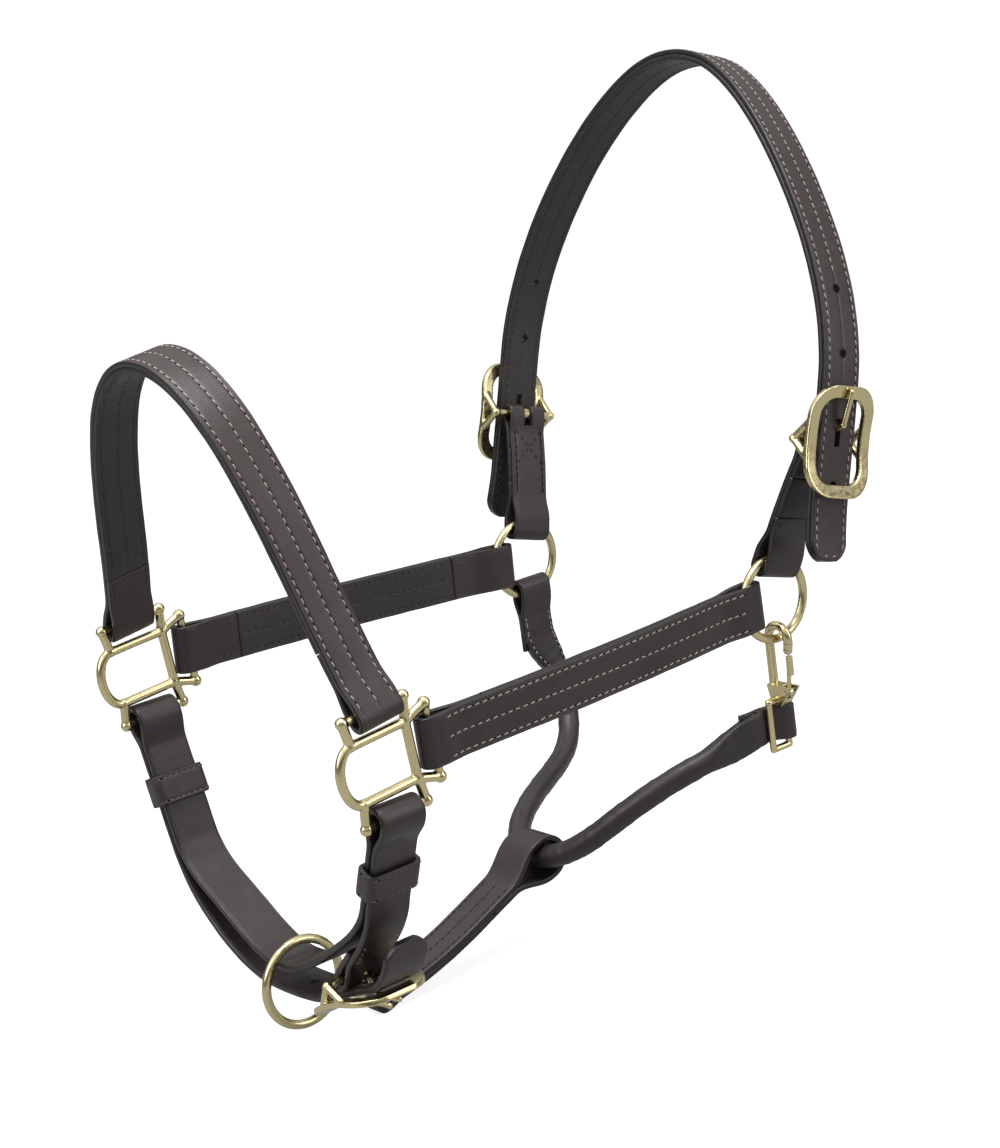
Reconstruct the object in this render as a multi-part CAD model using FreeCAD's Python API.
import FreeCAD, Part
import math, os
from FreeCAD import Vector

# Full-size leather headcollar: noseband, cheek straps, crown, chin strap, back
# stay and rolled throat, with their metal fittings.  Millimetres, +Z up, +X
# from the nose towards the poll, -Y is the near (left) side of the horse.

os.makedirs("parts", exist_ok=True)

SIDES = {"near": -1.0, "far": 1.0}      # sign of Y

# ---------------------------------------------------------------- dimensions
STRAP_W = 25.4          # width of every flat strap
LAYER_T = 2.8           # one layer of the crown and the chapes
SEWN_T = 3.0            # one layer of the noseband, cheek straps and back stay
CHIN_T = 3.4            # the chin strap is a single thicker layer
THROAT_FLAT_T = 2.4     # flat ends of the throat
GLUE = 0.03             # bond line between two layers
RUN = 0.15              # running clearance of leather round a bar
STACK_GAP = 0.2         # gap between two straps lying on each other
TIP_R = 14.2            # radius of a rounded strap tip
TIP_BACK = 12.6         # distance of its centre from the end of the strap

SQ_X = -262.0           # centre of the halter squares
SQ_Y = 107.0
SQ_Z = {"near": -8.0, "far": 8.0}
SQ_LEAN = math.radians(-5.0)     # the squares lean forward
SQ_BAR = 26.8           # distance of an outer strap bar from the centre
SQ_BAR_R = 2.3
SQ_REAR = 28.7          # distance of the rear strap bar from the centre
SQ_HALF = 18.0          # half length of an outer bar to its knob centres
SQ_REAR_HALF = SQ_HALF + 1.0
SQ_KNOB_R = 3.2
SQ_WIRE_R = 2.5
SQ_FRAME_X = 16.1       # half sizes of the inner wire frame
SQ_FRAME_Z = 14.6
SQ_BOW = 9.2            # how far the front wire bows forward

RING_Y = 104.0          # cheek rings, axes along Y, centres on the Y axis
RING_R = 21.9           # centre-line radius
RING_WIRE = 2.4
RING_SEAT = RING_R - 1.8         # where a strap turns round the ring wire

NOSE_X = -260.5         # noseband, chin strap and lead ring
LEAD_Z = -146.5
LEAD_R = 22.5
LEAD_WIRE = 2.5

# Tangent angles, evenly spaced along half an arch, run from crest to end.
NOSE_LEAN = math.radians(-8.0)
NOSE_APEX = 185.9
NOSE_HALF = 202.0
NOSE_ANGLES = [0.0, 0.62, 1.01, 1.18, 1.26, 1.24, 1.13]

CROWN_LEAN = math.radians(16.0)
CROWN_APEX = 289.0
CROWN_HALF = 227.0
CROWN_ANGLES = [0.0, 0.54, 0.80, 0.98, 1.14, 1.34, 1.5708]
CROWN_STRAIGHT = 34.0   # straight run from the arch to the buckle bar
NEAR_FLARE = 12.0       # the near leg of the crown hangs this much further out
CROWN_TIP = 62.0        # length of the strap below the buckle bar

HOLE_DATUM = 11.0       # hole spacing is counted from here, past the bar
HOLE_PITCH = 34.0
HOLE_R = 2.4
SLOT_MID = 4.4          # tongue slot centre, past the bar
SLOT_HALF = 5.6         # half distance between its end centres
SLOT_R = 2.5

BUCKLE_W = 46.0
BUCKLE_L = 58.0
BUCKLE_BAND = 6.8
BUCKLE_T = 3.2
BUCKLE_CORNER = 16.0
BUCKLE_INNER_CORNER = 9.6
BUCKLE_DISH = 90.0      # radius of the dish of the frame
BAR_R = 2.0
TONGUE_R = 1.7
TONGUE_TIP_R = TONGUE_R * 0.9
TONGUE_REACH = 26.0     # from the bar to the tongue tip
ROCK_GAP = 1.1          # room for the frame to rock on the strap

THROAT_R = 6.3
CORE_R = 2.2

# ------------------------------------------------------------------- helpers


class Plane:
    """Flat working plane; profiles are drawn in (u, v) and extruded along w."""

    def __init__(self, origin, u, v, w):
        self.origin, self.u, self.v, self.w = (Vector(*a) for a in (origin, u, v, w))

    def at(self, u, v, w=0.0):
        return self.origin + self.u * u + self.v * v + self.w * w

    def axes(self, tu, tv):
        """Direction (tu, tv) in space, and the normal to its left."""
        return self.u * tu + self.v * tv, self.u * -tv + self.v * tu

    def frame(self, curve, s):
        """Point, tangent and left normal in space at arc length s."""
        point, tangent = curve.at(s)
        return (self.at(*point), *self.axes(*tangent))


def lean_plane(x, lean):
    """Plane across the head, its v axis tipped rearwards by the lean."""
    sine, cosine = math.sin(lean), math.cos(lean)
    return Plane((x, 0, 0), (0, 1, 0), (sine, 0, cosine), (cosine, 0, -sine))


def save(name, shape):
    shape.exportStep("parts/%s.step" % name)


def dist(a, b):
    return math.hypot(a[0] - b[0], a[1] - b[1])


def heading(a, b):
    """Unit direction from a to b."""
    d = max(dist(a, b), 1e-9)
    return (b[0] - a[0]) / d, (b[1] - a[1]) / d


def beside(point, direction, along, left):
    """Point moved along a direction and to its left."""
    tu, tv = direction
    return point[0] + tu * along - tv * left, point[1] + tv * along + tu * left


def ease(x):
    x = max(0.0, min(1.0, x))
    return 0.5 - 0.5 * math.cos(math.pi * x)


def steps(a, b, step):
    n = max(2, int(abs(b - a) / step) + 1)
    return [a + (b - a) * i / n for i in range(n + 1)]


def half_arch(angles, length, apex, n=40, sub=6):
    """Half an arch from its crest; Hermite blending of the tangent angles."""
    last = len(angles) - 1
    slopes = [angles[1] - angles[0]]
    slopes += [(angles[i + 1] - angles[i - 1]) / 2.0 for i in range(1, last)]
    slopes.append(angles[last] - angles[last - 1])

    def angle(t):
        x = min(t, 0.999999) * last
        i = int(x)
        f = x - i
        return ((2 * f ** 3 - 3 * f ** 2 + 1) * angles[i]
                + (f ** 3 - 2 * f ** 2 + f) * slopes[i]
                + (-2 * f ** 3 + 3 * f ** 2) * angles[i + 1]
                + (f ** 3 - f ** 2) * slopes[i + 1])

    u, v = 0.0, apex
    points = [(u, v)]
    for i in range(n):
        for j in range(sub):
            a = angle((i + (j + 0.5) / sub) / n)
            u += math.cos(a) * length / n / sub
            v -= math.sin(a) * length / n / sub
        points.append((u, v))
    return points


class Curve:
    """Smooth planar curve through points, addressed by arc length."""

    def __init__(self, through_points, samples=600):
        spline = Part.BSplineCurve()
        spline.interpolate([Vector(u, v, 0) for u, v in through_points])
        a, b = spline.FirstParameter, spline.LastParameter
        values = [spline.value(a + (b - a) * i / samples) for i in range(samples + 1)]
        self.points = [(p.x, p.y) for p in values]
        self.stations = [0.0]
        for p, q in zip(self.points, self.points[1:]):
            self.stations.append(self.stations[-1] + dist(p, q))
        self.length = self.stations[-1]

    def at(self, s):
        """Point and unit tangent; beyond the ends the curve runs on straight."""
        p, t = self.points, self.stations
        if s <= 0:
            tangent = heading(p[0], p[1])
            return beside(p[0], tangent, s, 0.0), tangent
        if s >= self.length:
            tangent = heading(p[-2], p[-1])
            return beside(p[-1], tangent, s - self.length, 0.0), tangent
        low, high = 0, len(t) - 1
        while high - low > 1:
            middle = (low + high) // 2
            if t[middle] <= s:
                low = middle
            else:
                high = middle
        f = (s - t[low]) / max(t[high] - t[low], 1e-9)
        a, b = p[low], p[high]
        tangent = heading(p[max(low - 2, 0)], p[min(high + 2, len(p) - 1)])
        return (a[0] + (b[0] - a[0]) * f, a[1] + (b[1] - a[1]) * f), tangent

    def off(self, s, left):
        point, tangent = self.at(s)
        return beside(point, tangent, 0.0, left)

    def offset_line(self, stations, left):
        return [self.off(s, left) for s in stations]

    def nearest(self, point):
        """Arc length of the sample nearest to a point."""
        best = min(range(len(self.points)), key=lambda i: dist(self.points[i], point))
        return self.stations[best]


def thin(points, gap=0.35):
    """Drop points that crowd the one before, so that the spline stays fair."""
    kept = [points[0]]
    for p in points[1:]:
        if dist(p, kept[-1]) > gap:
            kept.append(p)
    return kept


def offset_path(points, left):
    last = len(points) - 1
    return [beside(p, heading(points[max(i - 1, 0)], points[min(i + 1, last)]), 0.0, left)
            for i, p in enumerate(points)]


def band(plane, left, right, width):
    """Solid between two open curves, extruded across the strap."""
    def spline_edge(points):
        spline = Part.BSplineCurve()
        spline.interpolate([plane.at(u, v, -width / 2) for u, v in points])
        return spline.toShape()

    def end_edge(p, q):
        return Part.LineSegment(plane.at(*p, -width / 2), plane.at(*q, -width / 2)).toShape()

    wire = Part.Wire([spline_edge(left), end_edge(left[-1], right[-1]),
                      spline_edge(right), end_edge(right[0], left[0])])
    return Part.Face(wire).extrude(plane.w * width)


def strip(plane, path, t, width=STRAP_W):
    """Single layer of leather along a centre path."""
    path = thin(path)
    return band(plane, offset_path(path, t / 2), offset_path(path, -t / 2), width)


class Turn:
    """Turn of a strap end round a bar: inside radius, straight slack past the
    bar, length in which the layers close up, and length of the lap."""

    def __init__(self, radius, slack, blend, lap):
        self.radius, self.slack, self.blend, self.lap = radius, slack, blend, lap


def fold(curve, at_start, t, turn, side):
    """Half circle of the layer centre, from the given side to the other."""
    r = turn.radius + GLUE / 2 + t / 2
    if at_start:
        centre, inward = -turn.slack / 2, 1
    else:
        centre, inward = curve.length + turn.slack / 2, -1
    angles = [math.pi * i / 12 for i in range(13)]
    return [curve.off(centre - inward * r * math.sin(a), side * r * math.cos(a))
            for a in angles]


def strap_outer(plane, curve, t, start, end, side, width=STRAP_W):
    """Outer layer, folded round a bar at its end and, unless start is None, at
    its start.  side = +1 when the outer face lies to the left of the curve."""
    length = curve.length
    fine, fine_run, coarse = 1.6, 26.0, 7.0

    def lift(s):
        n = t / 2 + GLUE / 2
        for turn, d in ((start, s), (end, length - s)):
            if turn:
                n += turn.radius * (1 - ease((d - turn.slack / 2) / turn.blend))
        return n

    def run(a, b, step, face=side):
        return [curve.off(s, face * lift(s)) for s in steps(a, b, step)]

    path = []
    run_start = middle_start = 0.0
    if start:
        half = start.slack / 2
        run_start = half + fine
        middle_start = run_start + fine_run
        path += run(start.lap, half, fine, -side)[:-1]
        path += fold(curve, True, t, start, -side)
        path += run(-half, half, 1.2)
    half = end.slack / 2
    run_end = length - (half + fine)
    middle_end = run_end - fine_run
    if middle_end <= middle_start:
        middle_start = middle_end = (run_start + run_end) / 2
    if start:
        path += run(run_start, middle_start, fine)
    path += run(middle_start, middle_end, coarse)
    path += run(middle_end, run_end, fine)
    path += run(length - half, length + half, 1.2)
    path += fold(curve, False, t, end, side)
    path += run(length - half, length - end.lap, fine, -side)[1:]
    return strip(plane, path, t, width)


def strap_lining(plane, curve, t, start, end, side):
    """Lining that fills the space between the two laps."""
    stations = steps(start.lap + 0.4, curve.length - end.lap - 0.4, 5.0)
    return band(plane, curve.offset_line(stations, -side * GLUE / 2),
                curve.offset_line(stations, -side * (t + GLUE / 2)), STRAP_W)


def save_sewn_strap(outer_name, lining_name, *strap):
    save(outer_name, strap_outer(*strap))
    save(lining_name, strap_lining(*strap))


def rod(a, b, r):
    a, b = Vector(*a), Vector(*b)
    return Part.makeCylinder(r, (b - a).Length, a, b - a)


def ball(p, r):
    return Part.makeSphere(r, Vector(*p))


def prism(corner, first, second, depth):
    """Box on a corner, spanned by three edge vectors."""
    points = [corner, corner + first, corner + first + second, corner + second, corner]
    return Part.Face(Part.makePolygon(points)).extrude(depth)


def fuse(shapes):
    fused = shapes[0].multiFuse(shapes[1:])
    # Guards against a general fuse that yields nothing: fuse one by one.
    if fused.isNull() or not fused.Solids:
        fused = shapes[0]
        for shape in shapes[1:]:
            fused = fused.fuse(shape)
    # Guards against faces that cannot be merged: the plain fuse is kept.
    try:
        fused = fused.removeSplitter()
    except Exception:
        pass
    return fused


def sweep(points, r):
    """Round bar along a spline."""
    spline = Part.BSplineCurve()
    points = [Vector(*p) for p in points]
    spline.interpolate(points)
    tangent = spline.tangent(spline.FirstParameter)[0]
    circle = Part.Wire([Part.makeCircle(r, points[0], tangent)])
    return Part.Wire([spline.toShape()]).makePipeShell([circ for circ in (circle,)], True, True)


def placed(shape, origin, x, y, z):
    """Copy of a shape moved into a right-handed frame."""
    moved = shape.copy()
    moved.Placement = FreeCAD.Placement(FreeCAD.Matrix(
        x.x, y.x, z.x, origin.x, x.y, y.y, z.y, origin.y,
        x.z, y.z, z.z, origin.z, 0, 0, 0, 1))
    return moved


def punch(plane, curve, s, r, half_length=0.0):
    """Cutter for a hole, or a slot along the strap, at arc length s."""
    centre, along, normal = plane.frame(curve, s)
    below = normal * 15
    if not half_length:
        return Part.makeCylinder(r, 30, centre - below, normal)
    a = centre - along * half_length - below
    b = centre + along * half_length - below
    return fuse([Part.makeCylinder(r, 30, a, normal),
                 prism(a - plane.w * r, b - a, plane.w * (2 * r), normal * 30),
                 Part.makeCylinder(r, 30, b, normal)])


def loop_slot(plane, bar, along, normal, half_depth, length):
    """Cutter that frees the tongue loop in the fold round a buckle bar."""
    half_width = 3.1
    corner = bar - along * 7.5 - plane.w * half_width - normal * half_depth
    return prism(corner, plane.w * (2 * half_width), normal * (2 * half_depth),
                 along * length)


# ------------------------------------------------------------ halter squares
def square_at(side, x, z):
    """Point of a leaning square; x rearwards and z up from its centre."""
    cosine, sine = math.cos(SQ_LEAN), math.sin(SQ_LEAN)
    return (SQ_X + x * cosine + z * sine, SIDES[side] * SQ_Y,
            SQ_Z[side] - x * sine + z * cosine)


def square(side):
    def at(x, z):
        return square_at(side, x, z)

    # F front, R rear, T top, B bottom: frame corners, then bar knobs
    frame_ft, frame_rt = at(-SQ_FRAME_X, SQ_FRAME_Z), at(SQ_FRAME_X, SQ_FRAME_Z)
    frame_rb, frame_fb = at(SQ_FRAME_X, -SQ_FRAME_Z), at(-SQ_FRAME_X, -SQ_FRAME_Z)
    top_f, top_r = at(-SQ_HALF, SQ_BAR), at(SQ_HALF, SQ_BAR)
    bottom_f, bottom_r = at(-SQ_HALF, -SQ_BAR), at(SQ_HALF, -SQ_BAR)
    rear_t, rear_b = at(SQ_REAR, SQ_REAR_HALF), at(SQ_REAR, -SQ_REAR_HALF)

    shapes = [rod(a, b, SQ_WIRE_R) for a, b in
              ((frame_ft, frame_rt), (frame_rt, frame_rb), (frame_fb, frame_rb))]
    shapes += [ball(p, SQ_WIRE_R * 1.12) for p in (frame_ft, frame_rt, frame_rb, frame_fb)]
    shapes += [rod(a, b, SQ_BAR_R) for a, b in
               ((top_f, top_r), (bottom_f, bottom_r), (rear_t, rear_b))]
    shapes += [rod(a, b, SQ_WIRE_R) for a, b in
               ((frame_ft, top_f), (frame_rt, top_r), (frame_fb, bottom_f),
                (frame_rb, bottom_r), (frame_rt, rear_t), (frame_rb, rear_b))]
    shapes += [ball(p, SQ_KNOB_R) for p in (top_f, top_r, bottom_f, bottom_r, rear_t, rear_b)]
    bow = []
    for i in range(9):
        a = math.pi / 2 + math.pi * i / 8
        bow.append(at(-SQ_FRAME_X + SQ_BOW * math.cos(a), SQ_FRAME_Z * math.sin(a)))
    shapes.append(sweep(bow, SQ_WIRE_R))
    return fuse(shapes)


for side in SIDES:
    save("square_" + side, square(side))

# --------------------------------------------------------------------- rings
for side, sign in SIDES.items():
    save("cheek_ring_" + side,
         Part.makeTorus(RING_R, RING_WIRE, Vector(0, sign * RING_Y, 0), Vector(0, 1, 0)))
save("lead_ring",
     Part.makeTorus(LEAD_R, LEAD_WIRE, Vector(NOSE_X, 0, LEAD_Z), Vector(0, 1, 0)))


# ------------------------------------------------------------------ noseband
def nose_leg(side):
    """Half arch, drawn out so that it ends on the top bar of the square."""
    half = half_arch(NOSE_ANGLES, NOSE_HALF, NOSE_APEX)
    end_u, end_v = half[-1]
    bar = square_at(side, 0, SQ_BAR)
    du = abs(bar[1]) - end_u
    dv = bar[2] / math.cos(NOSE_LEAN) - end_v
    return [(SIDES[side] * (u + du * (u / end_u) ** 3), v + dv * (u / end_u) ** 3)
            for u, v in half]


nose_curve = Curve(nose_leg("near")[::-2] + nose_leg("far")[2::2])
nose_turn = Turn(radius=SQ_BAR_R + 0.6, slack=3.6, blend=17.0, lap=34.0)
save_sewn_strap("noseband_outer", "noseband_lining", lean_plane(NOSE_X, NOSE_LEAN),
                nose_curve, SEWN_T, nose_turn, nose_turn, 1.0)

# -------------------------------------------------------------- cheek straps
CHEEK_BOW = 4.0         # outward bow at mid length

for side, sign in SIDES.items():
    x, y, z = square_at(side, SQ_REAR, 0)
    rise = math.atan2(-z, -RING_SEAT - x)
    span = math.hypot(-z, -RING_SEAT - x)
    cosine, sine = math.cos(rise), math.sin(rise)
    plane = Plane((x, 0, z), (cosine, 0, sine), (0, 1, 0), (-sine, 0, cosine))
    curve = Curve([(span * i / 12.0,
                    y + (sign * RING_Y - y) * i / 12.0
                    + CHEEK_BOW * sign * math.sin(math.pi * i / 12.0))
                   for i in range(13)])
    save_sewn_strap("cheek_strap_" + side, "cheek_lining_" + side, plane, curve, SEWN_T,
                    Turn(radius=SQ_BAR_R + 0.4, slack=4.4, blend=17.0, lap=32.0),
                    Turn(radius=RING_WIRE + 0.35, slack=8.0, blend=18.0, lap=34.0), sign)

# --------------------------------------------------------------------- crown
crown_plane = lean_plane(0.0, CROWN_LEAN)
crown_leg = half_arch(CROWN_ANGLES, CROWN_HALF, CROWN_APEX)[::2]
leg_u, arch_end_v = crown_leg[-1]
bar_v = arch_end_v - CROWN_STRAIGHT     # height of the buckle bars in the plane
crown_leg += [(leg_u, arch_end_v - CROWN_STRAIGHT * i / 4.0) for i in range(1, 5)]
# (outward, below the buckle bar) of the end that hangs down
crown_leg += [(leg_u + out, bar_v - down) for out, down in (
    (0.0, 8.0), (0.0, 16.0), (0.0, 24.0), (0.0, 32.0),
    (0.5, 42.0), (1.6, 52.0), (3.2, CROWN_TIP))]


def flare(v):
    """Extra outward reach of the near leg."""
    top = CROWN_APEX - 30.0
    x = max(0.0, min(1.0, (top - v) / (top - bar_v - 16.0)))
    return NEAR_FLARE * x * x * (3.0 - 2.0 * x)


crown_curve = Curve([(-u - flare(v), v) for u, v in crown_leg[::-1]] + crown_leg[1:])


def crown_tip_cutter(s, inward):
    """Waste outside the rounded tip at arc length s."""
    tip, along, normal = crown_plane.frame(crown_curve, s)
    back = -21.0 if inward > 0 else -9.0
    corner = tip + crown_plane.w * 20 - normal * 15 + along * back
    box = placed(Part.makeBox(30, 40, 30), corner, along, crown_plane.w * -1.0, normal)
    return box.cut(Part.makeCylinder(
        TIP_R, 60, tip + along * (inward * TIP_BACK) - normal * 30, normal))


def crown_cutters():
    """Tongue slots, holes and tips at both ends."""
    bar_s = CROWN_TIP + 0.1             # arc length from a tip to the bar
    cutters = []
    for base, inward in ((bar_s, 1.0), (crown_curve.length - bar_s, -1.0)):
        cutters.append(punch(crown_plane, crown_curve, base + inward * SLOT_MID,
                             SLOT_R, SLOT_HALF))
        for k in (1, 2, -1):
            s = base + inward * (HOLE_DATUM + k * HOLE_PITCH)
            cutters.append(punch(crown_plane, crown_curve, s, HOLE_R))
    return cutters + [crown_tip_cutter(0.0, 1), crown_tip_cutter(crown_curve.length, -1)]


cutters = crown_cutters()
stations = steps(0.0, crown_curve.length, 7.0)
near_face, far_face = GLUE / 2, LAYER_T + GLUE / 2      # from the mid surface
for name, left, right in (("crown_outer", far_face, near_face),
                          ("crown_lining", -near_face, -far_face)):
    layer = band(crown_plane, crown_curve.offset_line(stations, left),
                 crown_curve.offset_line(stations, right), STRAP_W)
    save(name, layer.cut(cutters))


# ------------------------------------------------------------------- buckles
# Local axes: x across the strap, y along it, z outward, origin on the centre
# bar.  The undersides of the end bars stand at z = depth.
def dish_centre(depth):
    inner_half = BUCKLE_L / 2 - BUCKLE_BAND
    return depth + math.sqrt((BUCKLE_DISH + BUCKLE_T) ** 2 - inner_half ** 2)


def rounded_block(width, length, r):
    a, b = width / 2 - r, length / 2 - r
    arcs = []
    for i, (x, y) in enumerate(((a, b), (-a, b), (-a, -b), (a, -b))):
        circle = Part.Circle(Vector(x, y, -10), Vector(0, 0, 1), r)
        arcs.append(Part.Arc(circle, i * math.pi / 2, (i + 1) * math.pi / 2).toShape())
    edges = []
    for i, arc in enumerate(arcs):
        p = arc.Vertexes[-1].Point
        q = arcs[(i + 1) % 4].Vertexes[0].Point
        edges += [arc, Part.LineSegment(p, q).toShape()]
    return Part.Face(Part.Wire(edges)).extrude(Vector(0, 0, 60))


def buckle_frame(depth):
    centre = dish_centre(depth)
    ring = rounded_block(BUCKLE_W, BUCKLE_L, BUCKLE_CORNER).cut(
        rounded_block(BUCKLE_W - 2 * BUCKLE_BAND, BUCKLE_L - 2 * BUCKLE_BAND,
                      BUCKLE_INNER_CORNER))
    outer, inner = (Part.makeCylinder(r, 80, Vector(-40, 0, centre), Vector(1, 0, 0))
                    for r in (BUCKLE_DISH + BUCKLE_T, BUCKLE_DISH))
    frame_z = centre - BUCKLE_DISH - BUCKLE_T / 2 + 0.5
    x = BUCKLE_W / 2 - BUCKLE_BAND / 2 + 1.2
    shapes = [ring.common(outer.cut(inner)), rod((-x, 0, 0), (x, 0, 0), BAR_R)]
    # knobs on the bar ends, each with two legs up to the frame
    for end in (-x, x):
        shapes.append(ball((end, 0, 0), 2.6))
        for y in (-10.0, 10.0):
            shapes.append(rod((end, 0, 0), (end, y, frame_z), 2.1))
    return fuse(shapes)


def tongue(depth):
    """Tongue from its loop round the bar, through the strap, onto the end bar."""
    frame_top = dish_centre(depth) - math.sqrt(BUCKLE_DISH ** 2 - TONGUE_REACH ** 2)
    knee = (0, 8.6, depth + 2.2)
    tip = (0, TONGUE_REACH, frame_top + TONGUE_TIP_R + 0.45)
    body = fuse([Part.makeCylinder(3.6, 5.0, Vector(-2.5, 0, 0), Vector(1, 0, 0)),
                 rod((0, 2.6, 2.2), knee, TONGUE_R), ball(knee, TONGUE_R),
                 rod(knee, tip, TONGUE_TIP_R), ball(tip, TONGUE_TIP_R)])
    return body.cut(Part.makeCylinder(BAR_R + 0.06, 10.0, Vector(-5, 0, 0), Vector(1, 0, 0)))


def save_buckle(strap, suffix, depth, bar, along, outward):
    across = along.cross(outward)
    for part, shape in (("buckle", buckle_frame(depth)), ("tongue", tongue(depth))):
        save("%s_%s%s" % (strap, part, suffix), placed(shape, bar, across, along, outward))


# The bar lies below the crown's mid surface, under its lining and the chape.
bar_below = far_face + STACK_GAP + LAYER_T + RUN + BAR_R
crown_bars = {"near": (-(leg_u + NEAR_FLARE - bar_below), bar_v),
              "far": (leg_u - bar_below, bar_v)}
for side, sign in SIDES.items():
    save_buckle("crown", "_" + side, bar_below + far_face + ROCK_GAP,
                crown_plane.at(*crown_bars[side]), crown_plane.v, crown_plane.u * sign)

# -------------------------------------------------------------------- chapes
CHAPE_BOW = 1.6

for side, sign in SIDES.items():
    bar = crown_bars[side]
    ring = (sign * RING_Y, RING_SEAT)
    direction = heading(ring, bar)
    curve = Curve([(ring[0] + (bar[0] - ring[0]) * i / 8.0
                    - sign * direction[1] * CHAPE_BOW * math.sin(math.pi * i / 8.0),
                    ring[1] + (bar[1] - ring[1]) * i / 8.0) for i in range(9)])
    strap = (crown_plane, curve, LAYER_T,
             Turn(radius=RING_WIRE + 0.9, slack=6.0, blend=15.0, lap=25.0),
             Turn(radius=BAR_R + RUN, slack=0.2, blend=13.0, lap=21.0), sign)
    slot = loop_slot(crown_plane, crown_plane.at(*bar), *crown_plane.axes(*direction),
                     half_depth=9, length=18)
    save("chape_" + side, strap_outer(*strap).cut(slot))
    save("chape_filler_" + side, strap_lining(*strap))

# ---------------------------------------------------------------- chin strap
# Drawn in (y, z).  One length: from a lap at the chin buckle up the near side,
# over the near square's bottom bar and down, under the chin, over the far
# square's bar and down, then back under the chin and through the buckle.
chin_plane = Plane((NOSE_X, 0, 0), (0, 1, 0), (0, 0, 1), (1, 0, 0))
square_bars = {side: square_at(side, 0, -SQ_BAR)[1:] for side in SIDES}
RUN_ENDS = {"near": (-86.5, -84.0), "far": (86.5, -84.0)}   # ends of the side runs
STRAND_SEP = 2.2                        # half distance between the two strands
LOOP_R = 6.2                            # centre-line radius of the top loops
CHIN_BAR = (-56.0, -127.0)              # chin buckle bar
CHIN_TILT = math.radians(20.0)
CHIN_HOLES = (-60.0, -36.0)             # from the hole datum

chin_dir = (-math.cos(CHIN_TILT), math.sin(CHIN_TILT))
chin_along, chin_outward = chin_plane.axes(*chin_dir)
chin_fold_r = BAR_R + RUN + CHIN_T / 2


def strand(side, left):
    """Strand beside a side run, going down; left = +1 or -1 picks its side."""
    bar, end = square_bars[side], RUN_ENDS[side]
    points = []
    for s in steps(0.0, dist(bar, end), 2.0):
        k = STRAND_SEP + (LOOP_R - STRAND_SEP) * (1 - ease((s - 2.0) / 15.0))
        points.append(beside(bar, heading(bar, end), s, k * left))
    return points


def top_loop(side):
    """Loose loop over a square bar, from the right strand to the left one."""
    bar = square_bars[side]
    direction = heading(bar, RUN_ENDS[side])
    angles = [math.pi * i / 12 for i in range(13)]
    return [beside(bar, direction, -LOOP_R * math.sin(a), -LOOP_R * math.cos(a))
            for a in angles]


near_out, near_in = strand("near", -1), strand("near", 1)
far_out, far_in = strand("far", 1), strand("far", -1)


def chin_chape():
    """Lap on the inner side, turn round the buckle bar, and up the outside."""
    curve = Curve([near_out[-1], (-80.6, -100.0), (-69.5, -112.6), CHIN_BAR])
    length = curve.length
    bar, direction = curve.at(length)
    points = []
    for s in steps(length - 20.0, length, 1.3):
        x = ease((length - s) / 15.0)
        points.append(curve.off(s, chin_fold_r * (1 - x) + (CHIN_T + 0.08) * x))
    for i in range(1, 12):
        a = math.pi * i / 12
        points.append(beside(bar, direction, chin_fold_r * math.sin(a),
                             chin_fold_r * math.cos(a)))
    for s in steps(length, 0.0, 1.6):
        points.append(curve.off(s, -chin_fold_r * (1 - ease((length - s) / 15.0))))
    return points, direction


def on_buckle(s):
    """Centre of the outer strand where it lies over the chin buckle bar."""
    return beside(CHIN_BAR, chin_dir, s, BAR_R + RUN + CHIN_T + STACK_GAP + CHIN_T / 2)


# Two points of the strand before lead each curve on in line with it.
inner_curve = Curve([
    near_in[-2], near_in[-1], (-72.5, -98.0), (-58.5, -108.0), (-44.0, -117.0),
    (-26.0, -127.0), (-9.0, -132.9), (0.0, -133.6), (9.0, -132.9), (26.0, -127.0),
    (44.0, -116.5), (60.0, -107.0), (74.0, -97.5), far_in[-1], far_in[-2]])
outer_curve = Curve(
    [far_out[-2], far_out[-1], (78.0, -106.5), (62.0, -123.5), (42.0, -136.5),
     (20.0, -144.2), (0.0, -145.9), (-17.0, -145.2)]
    + [on_buckle(s) for s in (-25.0, -17.0, -8.0, 0.0, 8.0, 17.0, 25.0)]
    + [(-90.2, -118.9), (-96.5, -109.5), (-100.6, -99.0)])

chape_points, chape_dir = chin_chape()
inner_stations = steps(dist(near_in[-2], near_in[-1]),
                       inner_curve.length - dist(far_in[-2], far_in[-1]), 5.0)
outer_stations = steps(dist(far_out[-2], far_out[-1]), outer_curve.length, 4.0)
chin_path = chape_points
for section in (near_out[::-1], top_loop("near"), near_in,
                inner_curve.offset_line(inner_stations, 0.0),
                far_in[::-1], top_loop("far"), far_out,
                outer_curve.offset_line(outer_stations, 0.0)):
    chin_path += section[1:]            # each section starts where the last ended


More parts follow.
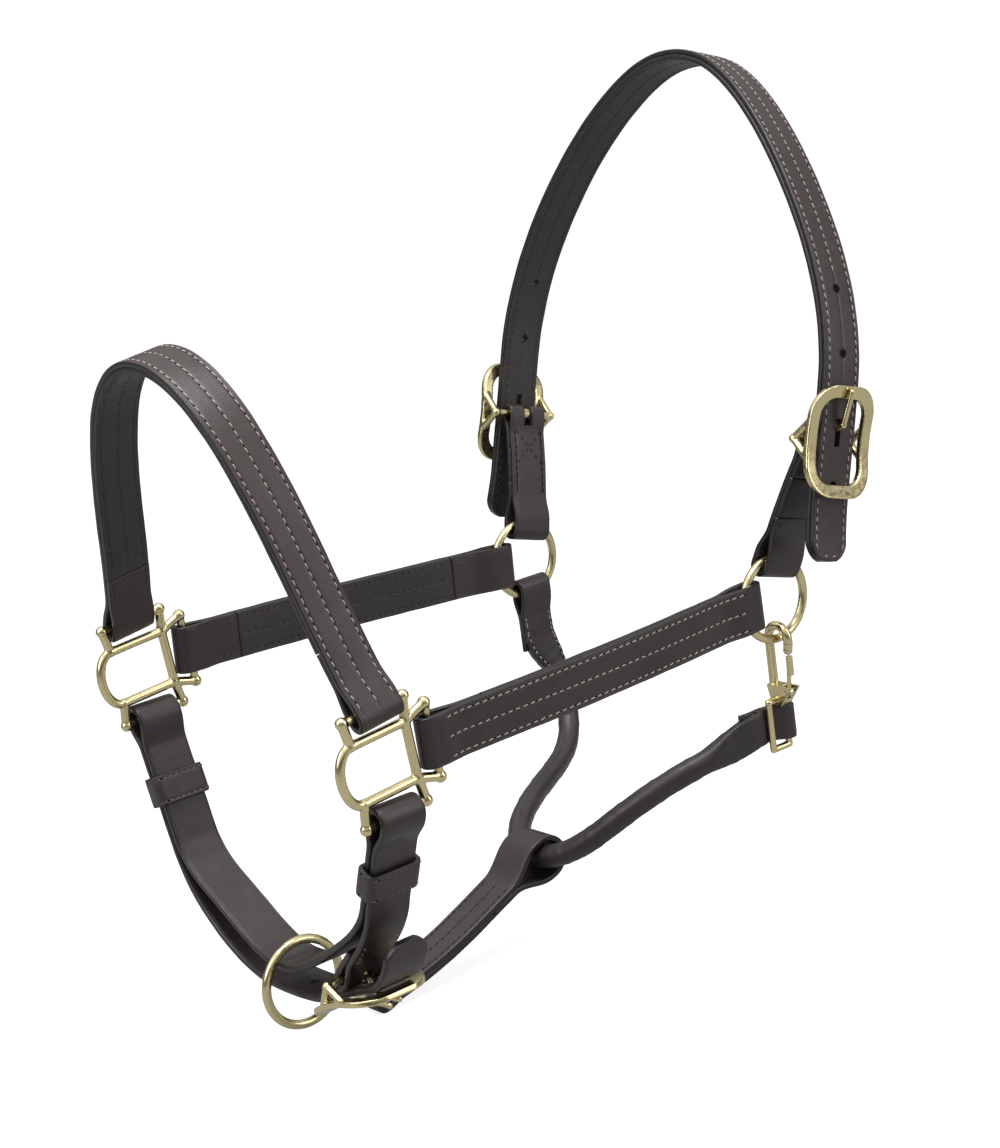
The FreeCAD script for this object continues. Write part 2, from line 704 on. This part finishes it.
def chin_cutters():
    bar_s = outer_curve.nearest(on_buckle(0.0))
    across = chin_plane.w
    # Each cutter is trimmed to the outer strand, to spare the inner one.
    guard = fuse([Part.makeCylinder(6.0, 30, chin_plane.at(*on_buckle(s)) - chin_outward * 3.2,
                                    chin_outward) for s in (SLOT_MID, -0.6, 8.4)])
    slot = punch(chin_plane, outer_curve, bar_s + SLOT_MID, SLOT_R, SLOT_HALF)
    cutters = [slot.common(guard)]
    low_zone = Part.makeBox(60, 120, 12.2, Vector(-293, -60, -152.5))
    for k in CHIN_HOLES:
        hole = punch(chin_plane, outer_curve, bar_s + HOLE_DATUM + k, HOLE_R)
        cutters.append(hole.common(low_zone))

    # slot for the tongue loop across the chape fold
    along, normal = chin_plane.axes(*chape_dir)
    slot = loop_slot(chin_plane, chin_plane.at(*CHIN_BAR), along, normal,
                     half_depth=6.4, length=13.2)
    cutters.append(slot.common(
        Part.makeCylinder(8.6, 40, chin_plane.at(*CHIN_BAR, w=-20), across)))

    # rounded tip
    tip, along, normal = chin_plane.frame(outer_curve, outer_curve.length)
    waste = prism(tip - along * 9 - across * 16 - normal * 5,
                  across * 32, along * 15, normal * 10)
    cutters.append(waste.cut(
        Part.makeCylinder(TIP_R, 40, tip - along * TIP_BACK - normal * 20, normal)))
    return cutters


chin_strap = strip(chin_plane, chin_path, CHIN_T)
for cutter in chin_cutters():
    chin_strap = chin_strap.cut(cutter)
save("chin_strap", chin_strap)
save_buckle("chin", "", BAR_R + RUN + CHIN_T + STACK_GAP + CHIN_T + ROCK_GAP,
            chin_plane.at(*CHIN_BAR), chin_along, chin_outward)

# ------------------------------------------------------------------- keepers
KEEPER_L, KEEPER_T = 16.0, 2.4
KEEPER_DOWN = {"near": 36.0, "far": 40.0}       # below the square bar


def keeper(side):
    """Rectangular sleeve round both strands of a side run."""
    bar = square_bars[side]
    direction = heading(bar, RUN_ENDS[side])
    along, normal = chin_plane.axes(*direction)
    across = chin_plane.w
    centre = chin_plane.at(*beside(bar, direction, KEEPER_DOWN[side], 0.0))

    def brick(half_l, half_w, half_n):
        corner = centre - along * half_l - across * half_w - normal * half_n
        return prism(corner, across * (2 * half_w), normal * (2 * half_n),
                     along * (2 * half_l))

    half_w = STRAP_W / 2 + 0.35
    half_n = STRAND_SEP + CHIN_T / 2 + 0.25
    return brick(KEEPER_L / 2, half_w + KEEPER_T, half_n + KEEPER_T).cut(
        brick(KEEPER_L, half_w, half_n))


for side in SIDES:
    save("keeper_" + side, keeper(side))

# ----------------------------------------------------------------- back stay
# Drawn in (x, z), from the dee at the front to a loop round the throat roll.
DEE_BAR = (-221.0, -171.5)
STAY_LOOP = (-103.0, -131.5)
DEE_HALF_W = 15.3
DEE_WIRE = 1.6

stay_curve = Curve([DEE_BAR, (-205.0, -168.6), (-185.0, -163.6), (-160.0, -155.0),
                    (-132.0, -143.0), STAY_LOOP])
save_sewn_strap("back_stay_outer", "back_stay_lining",
                Plane((0, 0, 0), (1, 0, 0), (0, 0, 1), (0, -1, 0)), stay_curve, SEWN_T,
                Turn(radius=1.75, slack=0.6, blend=12.0, lap=26.0),
                Turn(radius=9.6, slack=2.5, blend=26.0, lap=44.0), 1.0)


def stay_dee():
    """Straight bar in the front fold, bow round the rear of the lead ring."""
    lead = (NOSE_X, LEAD_Z)
    away_x, away_z = heading(lead, DEE_BAR)
    reach = dist(lead, DEE_BAR) - LEAD_R + LEAD_WIRE + DEE_WIRE + 0.4
    points = []
    for degrees in range(0, 181, 15):
        a = math.radians(degrees)
        forward = reach * math.sin(a)
        points.append((DEE_BAR[0] - away_x * forward, DEE_HALF_W * math.cos(a),
                       DEE_BAR[1] - away_z * forward))
    return fuse([sweep(points, DEE_WIRE),
                 ball(points[0], DEE_WIRE * 1.25), ball(points[-1], DEE_WIRE * 1.25),
                 rod(points[0], points[-1], DEE_WIRE)])


save("stay_dee", stay_dee())

# ---------------------------------------------------------------------- snap
# Hangs in the plane x = 0 from the bottom of the near cheek ring.
HOOK_Y, HOOK_Z = -RING_Y, -RING_R       # ring wire centre
HOOK_R = 6.9
HOOK_WIRE = 2.5
HOOK_BALL = 2.56
BASE_TOP = HOOK_Z - 26.0
BASE_HALF_X = 3.7
PIN_Y, PIN_Z = HOOK_Y - 4.6, BASE_TOP - 3.2
PIN_R = 0.9
EYE_FRONT, EYE_REAR = -9.5, 2.5         # x of the two upright eye bars
EYE_TOP, EYE_BOTTOM = BASE_TOP - 8.0, BASE_TOP - 34.5
EYE_Y = HOOK_Y + 3.0
EYE_WIRE = 1.9


def on_pin(r, x, length):
    """Cylinder on the pin axis, starting at x."""
    return Part.makeCylinder(r, length, Vector(x, PIN_Y, PIN_Z), Vector(1, 0, 0))


def snap_body():
    hook = [(0, HOOK_Y - HOOK_R + 0.6, HOOK_Z - 6.0), (0, HOOK_Y - HOOK_R, HOOK_Z - 2.0)]
    for degrees in range(165, -1, -15):
        a = math.radians(degrees)
        hook.append((0, HOOK_Y + HOOK_R * math.cos(a), HOOK_Z + HOOK_R * math.sin(a)))
    shank_y = HOOK_Y + HOOK_R
    shank = [rod((0, shank_y, HOOK_Z - 0.1), (0, shank_y, HOOK_Z - 27.0), HOOK_WIRE),
             ball(hook[-1], HOOK_BALL)]
    # (y from the hook centre, z from the base top)
    corners = ((-9.2, 0.0), (9.3, 0.0), (6.5, -11.5), (-0.5, -11.5), (-9.2, 0.0))
    base = Part.Face(Part.makePolygon(
        [Vector(-BASE_HALF_X, HOOK_Y + y, BASE_TOP + z) for y, z in corners])).extrude(
            Vector(2 * BASE_HALF_X, 0, 0))
    front_top, front_bottom = (EYE_FRONT, EYE_Y, EYE_TOP), (EYE_FRONT, EYE_Y, EYE_BOTTOM)
    rear_top, rear_bottom = (EYE_REAR, EYE_Y, EYE_TOP), (EYE_REAR, EYE_Y, EYE_BOTTOM)
    eye = [rod(a, b, EYE_WIRE) for a, b in
           ((front_top, front_bottom), (rear_top, rear_bottom),
            (front_bottom, rear_bottom), (front_top, rear_top))]
    eye += [ball(p, EYE_WIRE) for p in (front_bottom, rear_bottom, front_top, rear_top)]
    gate_slot = Part.makeBox(4.4, 8.6, 7.4, Vector(-2.2, HOOK_Y - 9.7, BASE_TOP - 7.0))
    solid = fuse([sweep(hook, HOOK_WIRE), ball(hook[0], HOOK_BALL), base] + shank + eye)
    return solid.cut([gate_slot, on_pin(PIN_R, -10, 20)])


def snap_gate():
    """Hub on the pin, thin stem, and thicker barrel up to the hook end."""
    y, z = HOOK_Y - HOOK_R + 0.5, HOOK_Z - 9.2
    gate = fuse([on_pin(2.5, -2.1, 2.6),
                 rod((-0.8, PIN_Y, PIN_Z), (0, y, z - 1.4), 1.25),
                 Part.makeCylinder(1.9, 10.6, Vector(0, y, z - 10.6), Vector(0, -0.02, 1))])
    return gate.cut(on_pin(PIN_R + 0.05, -10, 20))


def snap_spring():
    """Coil of 2.4 turns round the pin, beside the gate hub."""
    coil_r, pitch = 1.45, 0.52
    points = []
    for i in range(31):
        turns = 2.4 * i / 30.0
        a = 2 * math.pi * turns
        points.append((0.726 + pitch * turns, PIN_Y + coil_r * math.cos(a),
                       PIN_Z + coil_r * math.sin(a)))
    return sweep(points, 0.2)


save("snap_body", snap_body())
save("snap_gate", snap_gate())
save("snap_pin", on_pin(PIN_R, -BASE_HALF_X, 2 * BASE_HALF_X))
save("snap_spring", snap_spring())

# -------------------------------------------------------------- rolled throat
# Centre line (x, y, z) from the snap, through the stay loop, to the far ring.
ROLL = [
    (-17.0, -98.0, -70.4), (-32.0, -93.5, -74.5), (-58.0, -80.0, -85.0),
    (-84.0, -54.0, -106.0), (-99.0, -27.0, -125.0), (STAY_LOOP[0], 0.0, STAY_LOOP[1]),
    (-91.0, 26.0, -129.5), (-62.0, 49.0, -122.5), (-22.0, 72.0, -118.0),
    (4.0, 89.0, -108.0), (13.0, 99.5, -88.0), (10.0, 103.5, -66.0), (4.0, 104.0, -50.0)]


def near_flat():
    """Flat end turned round the rear bar of the snap eye, drawn in (x, y)."""
    plane = Plane((0, 0, BASE_TOP - 21.0), (1, 0, 0), (0, 1, 0), (0, 0, 1))
    curve = Curve([(-26.0, -95.2), (-17.0, -96.2), (-9.5, -96.3), (-4.0, -98.3),
                   (EYE_REAR, EYE_Y)])
    turn = Turn(radius=EYE_WIRE + RUN, slack=0.3, blend=8.0, lap=20.0)
    return strap_outer(plane, curve, THROAT_FLAT_T, None, turn, 1.0, width=19.0)


def far_flat():
    """Flat end turned round the far cheek ring, drawn in (z, y)."""
    plane = Plane((2.0, 0, 0), (0, 0, 1), (0, 1, 0), (1, 0, 0))
    curve = Curve([(z, RING_Y) for z in (-56.0, -44.0, -34.0, -RING_SEAT)])
    turn = Turn(radius=RING_WIRE + 0.4, slack=6.4, blend=13.0, lap=30.0)
    return strap_outer(plane, curve, THROAT_FLAT_T, None, turn, 1.0, width=22.0)


flats = [near_flat(), far_flat()]
tube = sweep(ROLL, THROAT_R).cut(sweep(ROLL, CORE_R + 0.05))
save("throat_roll", fuse([tube] + flats))
save("throat_core", sweep(ROLL, CORE_R).cut(fuse(flats)))
